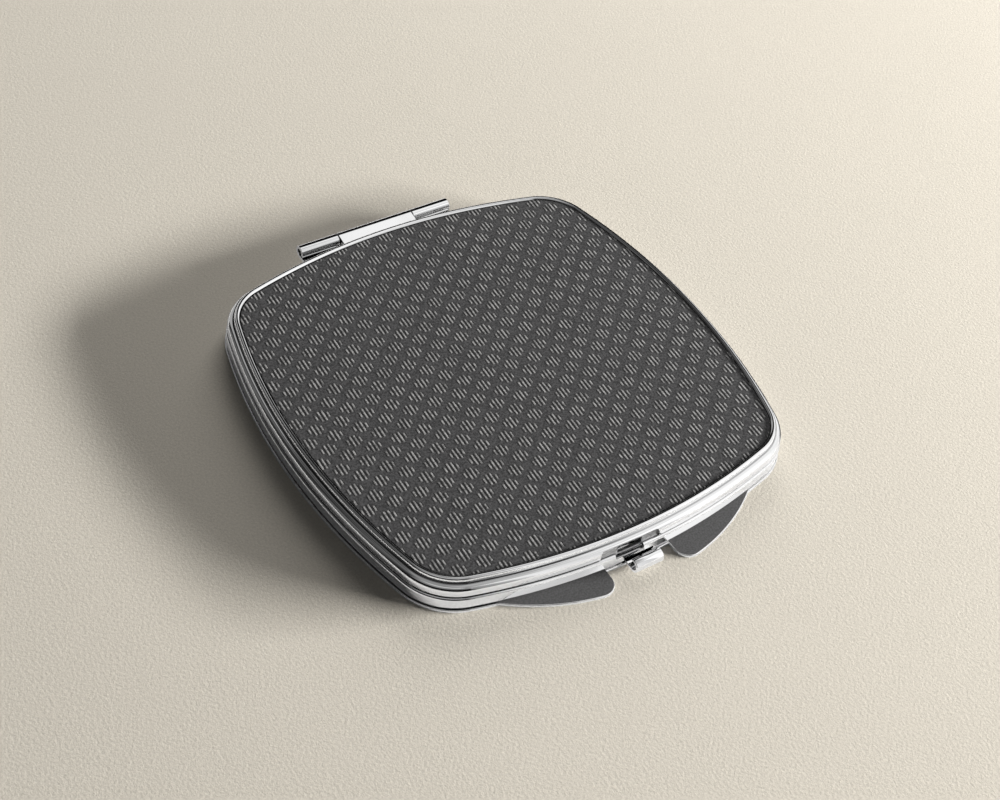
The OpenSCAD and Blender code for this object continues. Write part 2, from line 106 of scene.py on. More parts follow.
def middle_of(node, axis):
    """The middle of a node's box along an axis in millimetres."""
    return (mm_of(node, LOW, axis) + mm_of(node, HIGH, axis)) / 2


def levels():
    """Heights that several pieces share, the hinge's place, and the ends of its leaves and the bracket."""
    return {
        "plate": mm_of("base_plate", HIGH, Z), "board": mm_of("mirror_board", HIGH, Z),
        "seam": mm_of("base_shell", HIGH, Z), "lid": mm_of("lid_shell", LOW, Z),
        "web": mm_of("lid_mirror_tape", HIGH, Z), "recess": mm_of("panel_tape", LOW, Z),
        "panel": mm_of("lid_panel", LOW, Z), "panel_top": mm_of("lid_panel", HIGH, Z),
        "crest": mm_of("lid_shell", HIGH, Z),
        "hinge": middle_of("hinge_pin", Z), "hinge_y": middle_of("hinge_pin", Y),
        "lid_leaf": mm_of("lid_hinge_leaf", HIGH, X), "base_leaves": mm_of("base_hinge_leaves", HIGH, X),
        "bracket": (mm_of("catch_bracket", LOW, X), mm_of("catch_bracket", HIGH, X)),
    }


# Sizes and colours that a user would change

def linear(text):
    """The linear colour of an sRGB hex value."""
    parts = [int(text[i:i + 2], 16) / 255 for i in (1, 3, 5)]
    return [c / 12.92 if c <= 0.04045 else ((c + 0.055) / 1.055) ** 2.4 for c in parts]


def length(name, description, default):
    return FloatProperty(name=name, description=description, default=default * MM, unit="LENGTH", precision=5)


def colour(name, description, default):
    return FloatVectorProperty(name=name, description=description, default=linear(default), subtype="COLOR",
                               size=3, min=0, max=1)


class CompactSizes(bpy.types.PropertyGroup):
    wall: length("Wall", "Sheet thickness of both shells' walls", 0.45)
    bezel: length("Bezel", "Width of the bright bezel round the panel", 0.76)
    shoulder: length("Shoulder", "Radius of the lid's shoulder", 0.85)
    lid_edge: length("Lid edge", "Radius of the lid's rolled lower edge", 0.42)
    foot: length("Foot", "Radius of the base wall's lower shoulder", 0.5)
    plate_edge: length("Plate edge", "Rounding of the base plate's edge", 0.12)
    small_edge: length("Small edges", "Rounding of the edges of small sheet parts", 0.05)
    stroke_pitch: length("Stroke pitch", "Distance between two of a cluster's four strokes", 0.56)
    cluster_step: length("Cluster step", "Distance between two clusters along a row", 3.58)
    row_step: length("Row step", "Distance between two rows of clusters, with a staggered row between", 3.625)
    long_stroke: length("Long stroke", "Length of a cluster's two middle strokes", 1.9)
    short_stroke: length("Short stroke", "Length of a cluster's two outer strokes", 0.95)


class CompactColours(bpy.types.PropertyGroup):
    chrome: colour("Chrome", "Chrome plating of the case", "#F2F2F2")
    stamped: colour("Stamped chrome", "Thinner plating of the mirror frames", "#D6D7D8")
    panel: colour("Panel", "Dark ground of the textured panel", "#474748")
    # The strokes' own lighter grey, which also carries their painted highlight
    stroke: colour("Stroke", "Raised strokes on the panel", "#A9A9A9")
    facing: colour("Facing", "Dark lacquer on the finger rests", "#5C5C5D")
    silver: colour("Silvering", "Silver behind the mirror glass", "#E4E8E9")
    keeper: colour("Keeper", "Satin steel of the keeper", "#A9A9AA")
    wire: colour("Wire", "Drawn steel of pins and spring", "#B9B8B6")
    foam: colour("Foam", "Foam tape behind the mirrors", "#EDEBE4")
    board: colour("Board", "Grey board under the magnifying mirror", "#8A847B")
    paper: colour("Paper", "Paper that the case lies on", "#E2DCD0")


def in_mm(name):
    """One of the user's sizes in millimetres."""
    return getattr(bpy.context.scene.compact_sizes, name) / MM


def tone(name, share=1.0):
    """One of the user's colours, made darker or lighter by a share, as a shader takes it."""
    return (*(c * share for c in getattr(bpy.context.scene.compact_colours, name)), 1.0)


# Materials

# Settings that many nodes share: a change with soft ends, and a mixture of two colours
SOFT = {"interpolation_type": "SMOOTHSTEP"}
IN_COLOUR = {"data_type": "RGBA", "out": 2}


def add_node(tree, kind, inputs=(), out=0, **settings):
    """Adds a shader node with its settings and links and returns one of its outputs. Its inputs are
    values or other nodes' outputs, in order or under their names or numbers."""
    node = tree.nodes.new("ShaderNode" + kind)
    for key, value in settings.items():
        setattr(node, key, value)
    for key, value in inputs.items() if isinstance(inputs, dict) else enumerate(inputs):
        if isinstance(value, bpy.types.NodeSocket):
            tree.links.new(value, node.inputs[key])
        else:
            node.inputs[key].default_value = value
    return node.outputs[out] if node.outputs else node


def new_material(name):
    """An empty material, the function that adds a node to it and the object coordinates in millimetres."""
    material = bpy.data.materials.new(name)
    material.use_nodes = True
    tree = material.node_tree
    tree.nodes.clear()
    add = partial(add_node, tree)
    return material, add, add("VectorMath", (add("TexCoord", out="Object"), (1 / MM,) * 3), operation="MULTIPLY")


def finish(material, surface, height=None, depth=0.0):
    """Gives a material its surface from the shader's inputs, with a height drawn as a relief that is
    depth millimetres deep, and returns it."""
    add = partial(add_node, material.node_tree)
    if height:
        surface["Normal"] = add("Bump", {"Height": height, "Distance": depth * MM})
    add("OutputMaterial", {"Surface": add("BsdfPrincipled", surface)})
    return material


def bright_chrome():
    """Decorative chrome over polished nickel, buffed before plating. The eye gets a mirror with crisp
    dark and light lines, a slight waviness and faint haze where fingers touch it. Its creases carry
    painted shade: chrome near other surfaces is painted almost black, most on the left half. The
    plate under the finger rests gets no painted shade."""
    material, add, place = new_material("bright_chrome_plate")
    wave_height, shade_reach, plate_top = 0.009, 0.6, 0.47
    haze, wave = (add("TexNoise", {"Vector": place, "Scale": 1 / size, "Detail": detail})
                  for size, detail in ((6.0, 4.0), (2.6, 2.0)))
    buffed = add("Mix", {0: haze, 6: tone("chrome", 0.95), 7: tone("chrome")}, **IN_COLOUR)
    x, _, z = add("SeparateXYZ", (place,)).node.outputs
    # Painted shade: chrome with other surfaces close by is darkened almost to black
    openness = add("AmbientOcclusion", {"Distance": shade_reach * MM}, out="AO", samples=16)
    painted_crease_shade = add("MapRange", (openness, 0.5, 0.9, 1.0, 0.0), **SOFT)
    # The painted shade is stronger on the left half
    shade_more_at_left = add("MapRange", (x, -14.0, 2.0, 1.0, 0.4), **SOFT)
    painted_crease_shade = add("Math", (painted_crease_shade, shade_more_at_left), operation="MULTIPLY")
    # The plate below this height gets no painted shade
    above_plate = add("Math", (z, plate_top), operation="GREATER_THAN")
    painted_crease_shade = add("Math", (painted_crease_shade, above_plate), operation="MULTIPLY")
    shown = add("Mix", {0: painted_crease_shade, 6: buffed, 7: tone("chrome", 0.03)}, **IN_COLOUR)
    rough = add("MapRange", (haze, 0.3, 0.75, 0.04, 0.09), **SOFT)
    return finish(material, {"Base Color": shown, "Metallic": 1.0, "Roughness": rough}, wave, wave_height)


def stamped_chrome():
    """Thin chrome on stamped brass strip, unbuffed. It is a shade greyer than the case and its
    reflections are softened by the drawing lines of the strip."""
    material, add, place = new_material("stamped_chrome_strip")
    # Drawing lines are finer than these, which are as coarse as they have to be to show
    touch_size, line_height = 4.0, 0.004
    haze = add("TexNoise", {"Vector": place, "Scale": 1 / touch_size, "Detail": 3.0})
    drawn = add("Mapping", {"Vector": place, "Scale": (0.15, 3.0, 1.0)})
    lines = add("TexNoise", {"Vector": drawn, "Scale": 1.0})
    shown = add("Mix", {0: haze, 6: tone("stamped", 0.9), 7: tone("stamped")}, **IN_COLOUR)
    rough = add("MapRange", (lines, 0.2, 0.8, 0.12, 0.24), **SOFT)
    return finish(material, {"Base Color": shown, "Metallic": 1.0, "Roughness": rough}, lines, line_height)


def embossed_sheet():
    """Dark coated metal sheet with round clusters of four raised strokes, lighter grey and with a painted
    highlight along their ridges that varies at random. The ground is satin dark grey with fine grain and painted
    shade in the grooves of a cluster."""
    material, add, place = new_material("embossed_dark_sheet")
    step, row, pitch = in_mm("cluster_step"), in_mm("row_step"), in_mm("stroke_pitch")
    long_half, short_half = in_mm("long_stroke") / 2, in_mm("short_stroke") / 2
    emboss_height = 0.03
    # Whole cells that keep their numbers positive, and half a cell that puts a cluster at the centre
    first_cell = 500.5
    # The rows are turned a little against the case, and one cluster's centre is put on its real place
    turn, centre = math.radians(2.6), Vector((-14.22, 13.555))
    shift = -(Matrix.Rotation(turn, 2) @ centre)
    turned = add("Mapping", {"Vector": place, "Location": (*shift, 0.0), "Rotation": (0, 0, turn)})
    x, y, _ = add("SeparateXYZ", (turned,)).node.outputs
    strokes, grooves = [], []
    for stagger in (0.0, 0.5):
        # Distances from the centre of the nearest cluster of this set of rows
        distances = []
        for value, size in ((x, step), (y, row)):
            for operation, number in (("DIVIDE", size), ("ADD", first_cell + stagger), ("FRACT", 0.0),
                                      ("SUBTRACT", 0.5), ("MULTIPLY", size)):
                value = add("Math", (value, number), operation=operation)
            distances.append(value)
        across, along = distances
        # The nearest stroke's line lies half a pitch or one and a half from the cluster's centre
        line = across
        for operation, number in (("DIVIDE", pitch), ("FLOOR", 0.0), ("ADD", 0.5), ("MULTIPLY", pitch)):
            line = add("Math", (line, number), operation=operation)
        line_off = add("Math", (line,), operation="ABSOLUTE")
        outer = add("Math", (line_off, pitch), operation="GREATER_THAN")
        inside = add("Math", (line_off, 2 * pitch), operation="LESS_THAN")
        shorter = add("Math", (outer, long_half - short_half), operation="MULTIPLY")
        half_length = add("Math", (long_half, shorter), operation="SUBTRACT")
        near = add("Math", (across, line), operation="SUBTRACT")
        near = add("Math", (near,), operation="ABSOLUTE")
        end = add("Math", (along,), operation="ABSOLUTE")
        end = add("Math", (half_length, end), operation="SUBTRACT")
        flank = add("MapRange", (near, 0.04, 0.21, 1.0, 0.0), **SOFT)
        tip = add("MapRange", (end, -0.08, 0.22), **SOFT)
        ridge = add("Math", (flank, tip), operation="MULTIPLY")
        strokes.append(add("Math", (ridge, inside), operation="MULTIPLY"))
        hollow = add("MapRange", (end, -0.12, 0.2), **SOFT)
        grooves.append(add("Math", (inside, hollow), operation="MULTIPLY"))
    stroke = add("Math", strokes, operation="MAXIMUM")
    groove = add("Math", grooves, operation="MAXIMUM")
    # The coating's own grain is finer, and is drawn as coarse as it has to be to show
    grain, cloud, highlight_strength = (
        add("TexNoise", {"Vector": place, "Scale": 1 / size, "Detail": detail, "Roughness": roughness})
        for size, detail, roughness in ((0.26, 2.0, 0.7), (9.0, 3.0, 0.5), (0.45, 3.0, 0.5)))
    highlight_strength = add("MapRange", (highlight_strength, 0.3, 0.66, 0.35, 1.0), **SOFT)
    ground = add("Mix", {0: cloud, 6: tone("panel", 1.4), 7: tone("panel", 1.6)}, **IN_COLOUR)
    speck = add("MapRange", (grain, 0.32, 0.68), **SOFT)
    grained = add("Mix", {0: speck, 6: tone("panel", 0.6), 7: ground}, **IN_COLOUR)
    # Painted shade: the grooves between a cluster's strokes are darkened
    deep = add("Math", (groove, 0.9), operation="MULTIPLY")
    groove_shaded = add("Mix", {0: deep, 6: grained, 7: tone("panel", 0.3)}, **IN_COLOUR)
    # Painted highlight: lighter stroke colour across each ridge, strongest along its middle line
    bright = add("Math", (stroke, highlight_strength), operation="MULTIPLY")
    shown = add("Mix", {0: bright, 6: groove_shaded, 7: tone("stroke")}, **IN_COLOUR)
    height = add("Math", (grain, 0.12), operation="MULTIPLY")
    height = add("Math", (stroke, height), operation="ADD")
    rough = add("MapRange", (stroke, 0.0, 1.0, 0.55, 0.4), **SOFT)
    bare = add("Math", (stroke, 0.15), operation="MULTIPLY")
    surface = {"Base Color": shown, "Roughness": rough, "Metallic": bare, "Specular IOR Level": 0.25}
    return finish(material, surface, height, emboss_height)


def dark_lacquer():
    """Baked dark lacquer, sprayed thin. Satin, with a faint orange peel that breaks up the light."""
    material, add, place = new_material("dark_baked_lacquer")
    peel_height = 0.006
    peel, cloud = (
        add("TexNoise", {"Vector": place, "Scale": 1 / size, "Detail": detail, "Roughness": roughness})
        for size, detail, roughness in ((0.26, 2.0, 0.7), (3.0, 3.0, 0.5)))
    coat = add("Mix", {0: cloud, 6: tone("facing", 1.1), 7: tone("facing", 1.35)}, **IN_COLOUR)
    speck = add("MapRange", (peel, 0.32, 0.68), **SOFT)
    shown = add("Mix", {0: speck, 6: tone("facing", 0.75), 7: coat}, **IN_COLOUR)
    rough = add("MapRange", (peel, 0.2, 0.8, 0.5, 0.62), **SOFT)
    surface = {"Base Color": shown, "Roughness": rough, "Specular IOR Level": 0.3}
    return finish(material, surface, peel, peel_height)


def silvered_glass():
    """Float glass silvered on its back. A clean, faintly green-grey mirror with a few dust specks."""
    material, add, place = new_material("silvered_float_glass")
    smear, dust = (add("TexNoise", {"Vector": place, "Scale": 1 / size, "Detail": detail})
                   for size, detail in ((7.0, 4.0), (0.4, 1.0)))
    dust = add("MapRange", (dust, 0.78, 0.84), **SOFT)
    shown = add("Mix", {0: dust, 6: tone("silver"), 7: tone("silver", 0.8)}, **IN_COLOUR)
    rough = add("MapRange", (smear, 0.35, 0.8, 0.012, 0.035), **SOFT)
    return finish(material, {"Base Color": shown, "Metallic": 1.0, "Roughness": rough})


def satin_steel():
    """Steel strip, rolled and tumbled. Grey with short bright scratches and specks from the tumbling."""
    material, add, place = new_material("tumbled_steel_strip")
    scratch_size, scratch_height = 0.5, 0.006
    rolled = add("Mapping", {"Vector": place, "Scale": (0.6, 4.0, 4.0)})
    scratch = add("TexNoise", {"Vector": rolled, "Scale": 1 / scratch_size, "Detail": 3.0})
    speck = add("MapRange", (scratch, 0.42, 0.62), **SOFT)
    shown = add("Mix", {0: speck, 6: tone("keeper", 0.9), 7: tone("keeper", 1.6)}, **IN_COLOUR)
    rough = add("MapRange", (scratch, 0.2, 0.8, 0.3, 0.45), **SOFT)
    return finish(material, {"Base Color": shown, "Metallic": 1.0, "Roughness": rough}, scratch, scratch_height)


def drawn_wire():
    """Drawn steel wire. Fine lines run along the wire and stretch its highlight."""
    material, add, place = new_material("drawn_steel_wire")
    # Drawn as coarse as they have to be to show
    line_height = 0.004
    drawn = add("Mapping", {"Vector": place, "Scale": (0.3, 9.0, 9.0)})
    lines = add("TexNoise", {"Vector": drawn, "Scale": 1.0})
    shown = add("Mix", {0: lines, 6: tone("wire", 0.8), 7: tone("wire")}, **IN_COLOUR)
    rough = add("MapRange", (lines, 0.2, 0.8, 0.2, 0.34), **SOFT)
    return finish(material, {"Base Color": shown, "Metallic": 1.0, "Roughness": rough}, lines, line_height)


def foam_tape():
    """Closed-cell polyethylene foam tape. Matt off-white with open bubbles at its cut edge and painted shade in
    their hollows.
    """
    material, add, place = new_material("closed_cell_foam_tape")
    cells_per_mm, bubble_depth = 6.0, 0.03
    cells = add("TexVoronoi", {"Vector": place, "Scale": cells_per_mm}, out="Distance")
    # Painted shade: darker towards the middle of each bubble
    shown = add("Mix", {0: cells, 6: tone("foam", 0.85), 7: tone("foam")}, **IN_COLOUR)
    return finish(material, {"Base Color": shown, "Roughness": 0.9}, cells, bubble_depth)


def grey_board():
    """Recycled grey board. Matt, with short darker and lighter fibres."""
    material, add, place = new_material("recycled_grey_board")
    fibre_size, fibre_height = 0.6, 0.02
    laid = add("Mapping", {"Vector": place, "Scale": (0.7, 2.5, 1.0)})
    fibres = add("TexNoise", {"Vector": laid, "Scale": 1 / fibre_size, "Detail": 4.0})
    light = add("MapRange", (fibres, 0.3, 0.7), **SOFT)
    shown = add("Mix", {0: light, 6: tone("board", 0.7), 7: tone("board")}, **IN_COLOUR)
    return finish(material, {"Base Color": shown, "Roughness": 0.85}, fibres, fibre_height)


def drawing_paper():
    """Machine-finished drawing paper under the case. Warm and pale, with a fine felt grain under half a
    millimetre across. Polished metal shows a painted reflection of it: a plain neutral tone that keeps
    the chrome grey, and a painted dark reflection behind the right side, where the real case mirrors something
    dark."""
    material, add, place = new_material("fine_grained_drawing_paper")
    felt_height = 0.045
    painted_pale_reflection, painted_dark_reflection = (*linear("#F6F6F6"), 1.0), (*linear("#383838"), 1.0)
    felt, fleck, cloud = (
        add("TexNoise", {"Vector": place, "Scale": 1 / size, "Detail": detail, "Roughness": roughness})
        for size, detail, roughness in ((0.4, 4.0, 0.65), (0.3, 4.0, 0.75), (24.0, 3.0, 0.5)))
    ground = add("Mix", {0: cloud, 6: tone("paper", 0.97), 7: tone("paper", 1.03)}, **IN_COLOUR)
    light = add("MapRange", (fleck, 0.3, 0.7), **SOFT)
    paper = add("Mix", {0: light, 6: tone("paper", 0.83), 7: ground}, **IN_COLOUR)
    # Painted reflection: a dark patch behind the right side, seen only in polished metal
    x, y, _ = add("SeparateXYZ", (place,)).node.outputs
    at_right = add("MapRange", (x, 31.0, 34.0), **SOFT)
    behind_front = add("MapRange", (y, -30.0, -24.0), **SOFT)
    dark = add("Math", (at_right, behind_front), operation="MULTIPLY")
    mirrored = add("Mix", {0: dark, 6: painted_pale_reflection, 7: painted_dark_reflection}, **IN_COLOUR)
    # Polished metal sees the painted reflection instead of the paper
    in_metal = add("LightPath", out="Is Glossy Ray")
    shown = add("Mix", {0: in_metal, 6: paper, 7: mirrored}, **IN_COLOUR)
    return finish(material, {"Base Color": shown, "Roughness": 0.92}, felt, felt_height)


MAKERS = {
    "case_chrome": bright_chrome, "hinge_chrome": bright_chrome, "frame_chrome": stamped_chrome,
    "panel": embossed_sheet, "ear_facing": dark_lacquer, "mirror_glass": silvered_glass, "tape": foam_tape,
    "board": grey_board, "keeper_steel": satin_steel, "pin_steel": drawn_wire, "paper": drawing_paper,
}
made = {}


def material_for(slot):
    """The material of a slot, made when it is first asked for and shared by slots of one finish."""
    maker = MAKERS[slot]
    if maker not in made:
        made[maker] = maker()
    return made[maker]


# Modelling

def select_nothing():
    if bpy.context.mode != "OBJECT":
        bpy.ops.object.mode_set(mode="OBJECT")
    bpy.ops.object.select_all(action="DESELECT")


def take(piece):
    """Makes a piece the only selected and active object."""
    select_nothing()
    piece.select_set(True)
    bpy.context.view_layer.objects.active = piece


def arc(cx, cz, r, start, end, step=9.0):
    """Points of an arc in a profile."""
    count = max(1, math.ceil(abs(end - start) / step))
    turns = [math.radians(start + (end - start) * i / count) for i in range(count + 1)]
    return [(cx + r * math.cos(a), cz + r * math.sin(a)) for a in turns]


def draw(name, points, closed=False):
    """A new piece whose mesh is a line, drawn by extruding a vertex from point to point."""
    select_nothing()
    points = [Vector(p) * MM for p in points]
    bpy.ops.mesh.primitive_plane_add(size=MM, location=points[0])
    piece = bpy.context.object
    piece.name = piece.data.name = name
    bpy.ops.object.transform_apply(location=True, rotation=True, scale=True)
    bpy.ops.object.mode_set(mode="EDIT")
    bpy.ops.mesh.select_mode(type="VERT")
    bpy.ops.mesh.select_all(action="SELECT")
    bpy.ops.mesh.merge(type="CENTER")
    for a, b in zip(points, points[1:] + points[:closed]):
        bpy.ops.mesh.extrude_vertices_move(TRANSFORM_OT_translate={"value": b - a})
    bpy.ops.mesh.select_all(action="SELECT")
    bpy.ops.mesh.remove_doubles(threshold=1e-6)
    return piece


def turn_about(centre, angle, steps):
    """Spins the selected line on, anticlockwise seen from above, about an upright axis."""
    bpy.ops.mesh.spin(steps=steps, angle=math.radians(-angle), center=Vector((*centre, 0)) * MM,
                      axis=(0, 0, 1), use_auto_merge=False)


def at_seam(profile):
    """Places a profile of (distance outside the panel, height) at the left end of the front side."""
    a = math.radians(-90 - SEAM)
    return [((SIDE_R + d) * math.cos(a), SIDE_BACK + (SIDE_R + d) * math.sin(a), z) for d, z in profile]


def spin_round(first_side=True):
    """Spins the selected line round the case, about each side's and each corner's own centre."""
    steps = 24
    for quarter in range(4):
        turn = Matrix.Rotation(math.radians(90 * quarter), 2)
        if quarter or first_side:
            turn_about(turn @ Vector((0, SIDE_BACK)), 2 * SEAM, steps)
        turn_about(turn @ Vector((CORNER_C, -CORNER_C)), 90 - 2 * SEAM, steps)


def close_up(fill=True):
    """Merges the doubles, fills the open loops and turns the faces outwards."""
    bpy.ops.mesh.select_all(action="SELECT")
    bpy.ops.mesh.remove_doubles(threshold=2e-6)
    if fill:
        bpy.ops.mesh.fill_holes(sides=0)
        bpy.ops.mesh.select_all(action="SELECT")
    bpy.ops.mesh.normals_make_consistent(inside=False)
    bpy.ops.object.mode_set(mode="OBJECT")


def ring(name, profile):
    """A closed profile carried round the case."""
    piece = draw(name, at_seam(profile), closed=True)
    spin_round()
    close_up(fill=False)
    return piece


def tray(name, profile):
    """An open profile carried round the case, with a flat sheet across each end of it."""
    piece = draw(name, at_seam(profile))
    spin_round()
    close_up()
    return piece


def strip(name, outline, x0, x1):
    """A sheet part with its outline in the plane across the hinge, drawn out along X."""
    piece = draw(name, [(x0, y, z) for y, z in outline], closed=True)
    bpy.ops.mesh.edge_face_add()
    bpy.ops.mesh.extrude_region_move(TRANSFORM_OT_translate={"value": ((x1 - x0) * MM, 0, 0)})
    close_up(fill=False)
    return piece


def block(name, across, along, up, rounding=0.0, axis=None):
    """A box from the first to the second place on each axis, its edges along one axis rounded."""
    select_nothing()
    low, high = (Vector(corner) * MM for corner in zip(across, along, up))
    bpy.ops.mesh.primitive_cube_add(size=1, location=(low + high) / 2, scale=high - low)
    piece = bpy.context.object
    piece.name = piece.data.name = name
    bpy.ops.object.transform_apply(location=True, rotation=True, scale=True)
    if rounding:
        for edge in piece.data.edges:
            a, b = (piece.data.vertices[i].co for i in edge.vertices)
            edge.select = abs((b - a).normalized()[axis]) > 0.9
        for thing in (*piece.data.vertices, *piece.data.polygons):
            thing.select = False
        bpy.ops.object.mode_set(mode="EDIT")
        bpy.ops.mesh.select_mode(type="EDGE")
        bpy.ops.mesh.bevel(offset=rounding * MM, segments=5, affect="EDGES")
        bpy.ops.object.mode_set(mode="OBJECT")
    return piece


def combine(piece, operation, others):
    """Takes other solids out of a piece, or unites it with them, and removes them."""
    for other in others:
        take(piece)
        modifier = piece.modifiers.new("combine", "BOOLEAN")
        modifier.operation, modifier.solver, modifier.object = operation, "EXACT", other
        bpy.ops.object.modifier_apply(modifier=modifier.name)
        bpy.data.objects.remove(other)


def join(name, *pieces):
    """Makes pieces that don't touch one object."""
    take(pieces[0])
    for piece in pieces:
        piece.select_set(True)
    bpy.ops.object.join()
    pieces[0].name = pieces[0].data.name = name
    return pieces[0]


def soften(piece, width, segments, angle):
    """Rounds the edges of a piece that are sharper than an angle."""
    take(piece)
    modifier = piece.modifiers.new("round", "BEVEL")
    modifier.width, modifier.segments, modifier.limit_method = width * MM, segments, "ANGLE"
    modifier.angle_limit = math.radians(angle)
    modifier.use_clamp_overlap = True
    bpy.ops.object.modifier_apply(modifier=modifier.name)


def smooth(piece):
    """Shades a piece smooth up to an angle, and keeps its flat faces flat beside their rounded edges."""
    angle = 32.0
    take(piece)
    bpy.ops.object.shade_smooth_by_angle(angle=math.radians(angle))
    modifier = piece.modifiers.new("flat", "WEIGHTED_NORMAL")
    modifier.keep_sharp = True
    bpy.ops.object.modifier_apply(modifier=modifier.name)


def complete(piece, body, slot, node):
    """Gives a finished piece its material and its body, and hides the node that it stands for."""
    smooth(piece)
    piece.data.materials.clear()
    piece.data.materials.append(material_for(slot))
    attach(piece, body)
    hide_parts(node)
    select_nothing()


def dress(slots):
    """Gives each node that keeps its own shape the material of a slot."""
    for node, slot in slots.items():
        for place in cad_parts[node].material_slots:
            place.material = material_for(slot)


# Pieces

class COMPACT_OT_lid_shell(bpy.types.Operator):
    """Polished lid shell: rolled bezel, shoulder, wall and rolled lower edge, with the keeper's window"""
    bl_idname = "compact.lid_shell"
    bl_label = "Lid shell"

    def execute(self, context):
        at = levels()
        wall, bezel_r, shoulder, edge = in_mm("wall"), in_mm("bezel") / 2, in_mm("shoulder"), in_mm("lid_edge")
        # The bezel stands just outside the panel, and the ledge outside it just above the panel's seat
        bezel_from, ledge = 0.04, at["recess"] + 0.06
        profile = (
            [(-FLAT_FROM, at["web"]), (LID_REACH - wall, at["web"]), (LID_REACH - wall, at["lid"])]
            + arc(LID_REACH - edge, at["lid"] + edge, edge, -90, 0, 15)
            + arc(LID_REACH - shoulder, ledge - shoulder, shoulder, 0, 90)
            + [(bezel_from + 2 * bezel_r, ledge)]
            + arc(bezel_from + bezel_r, at["crest"] - bezel_r, bezel_r, 0, 180)
            + [(bezel_from, at["recess"]), (-FLAT_FROM, at["recess"])])
        shell = tray("lid_shell_polished", profile)
        half, rise, corner, along = 4.4, 0.25, 0.5, (-33.5, -30.9)
        window = block("window", (KEEPER_X - half, KEEPER_X + half), along,
                       (at["lid"] - 2 * PAST, at["web"] + rise), corner, Y)
        leaf, below, above, along = at["lid_leaf"] + PLAY, 0.25, 0.72, (29.5, 32.5)
        leaf_way = block("leaf_way", (-leaf, leaf), along, (at["hinge"] - below, at["hinge"] + above))
        combine(shell, "DIFFERENCE", (window, leaf_way))
        complete(shell, "lid", "case_chrome", "lid_shell")
        return {"FINISHED"}


class COMPACT_OT_panel(bpy.types.Operator):
    """Dark textured panel inside the bezel, and the tape under it"""
    bl_idname = "compact.panel"
    bl_label = "Textured panel"

    def execute(self, context):
        at = levels()
        edge = 0.14
        profile = ([(-FLAT_FROM, at["panel"]), (0, at["panel"])]
                   + arc(-edge, at["panel_top"] - edge, edge, 0, 90, 15) + [(-FLAT_FROM, at["panel_top"])])
        complete(tray("textured_panel", profile), "lid", "panel", "lid_panel")
        dress({"panel_tape": "tape"})
        return {"FINISHED"}


class COMPACT_OT_base_shell(bpy.types.Operator):
    """Polished wall of the base with its rolled upper edge and lower shoulder"""
    bl_idname = "compact.base_shell"
    bl_label = "Base shell"

    def execute(self, context):
        at = levels()
        wall, foot, flange = in_mm("wall"), in_mm("foot"), -1.2
        inner = BASE_REACH - wall
        profile = (
            [(flange, at["plate"])] + arc(BASE_REACH - foot, at["plate"] + foot, foot, -90, 0)
            + arc(inner, at["seam"] - wall, wall, 0, 90)
            + [(inner, at["board"]), (flange, at["board"])])
        shell = ring("base_shell_polished", profile)
        # Front: the notch under the keeper's slot, the lever's way out, and the bracket's room in the flange
        notch_half, notch_deep, notch_corner = 2.1, 0.58, 0.12
        lever_half, lever_top, lever_corner = 2.25, 1.34, 0.15
        through, bracket_front, low, over = (-34, -30), -31.4, at["plate"] - 2 * PAST, at["board"] + PAST
        left, right = at["bracket"]
        rooms = [
            block("notch", (KEEPER_X - notch_half, KEEPER_X + notch_half), through,
                  (at["seam"] - notch_deep, at["seam"] + 2 * PAST), notch_corner, Y),
            block("way_out", (-lever_half, lever_half), through, (low, lever_top), lever_corner, Y),
            block("bracket_room", (left - CLEAR, right + CLEAR),
                  (bracket_front, mm_of("catch_bracket", HIGH, Y) + CLEAR), (low, over))]
        # Back: the hinge leaves' ways through the wall, and their feet's rooms in the flange
        leaf_along, leaf_up, foot_along = (29.5, 33), (1.51, 1.97), (29.4, 30.55)
        for side in (-1, 1):
            near, far = sorted((side * (at["lid_leaf"] + PLAY), side * at["base_leaves"]))
            rooms += [block("leaf_way", (near - PLAY, far + PLAY), leaf_along, leaf_up),
                      block("foot_room", (near - CLEAR, far + CLEAR), foot_along, (low, over))]
        combine(shell, "DIFFERENCE", rooms)
        complete(shell, "base", "case_chrome", "base_shell")
        return {"FINISHED"}


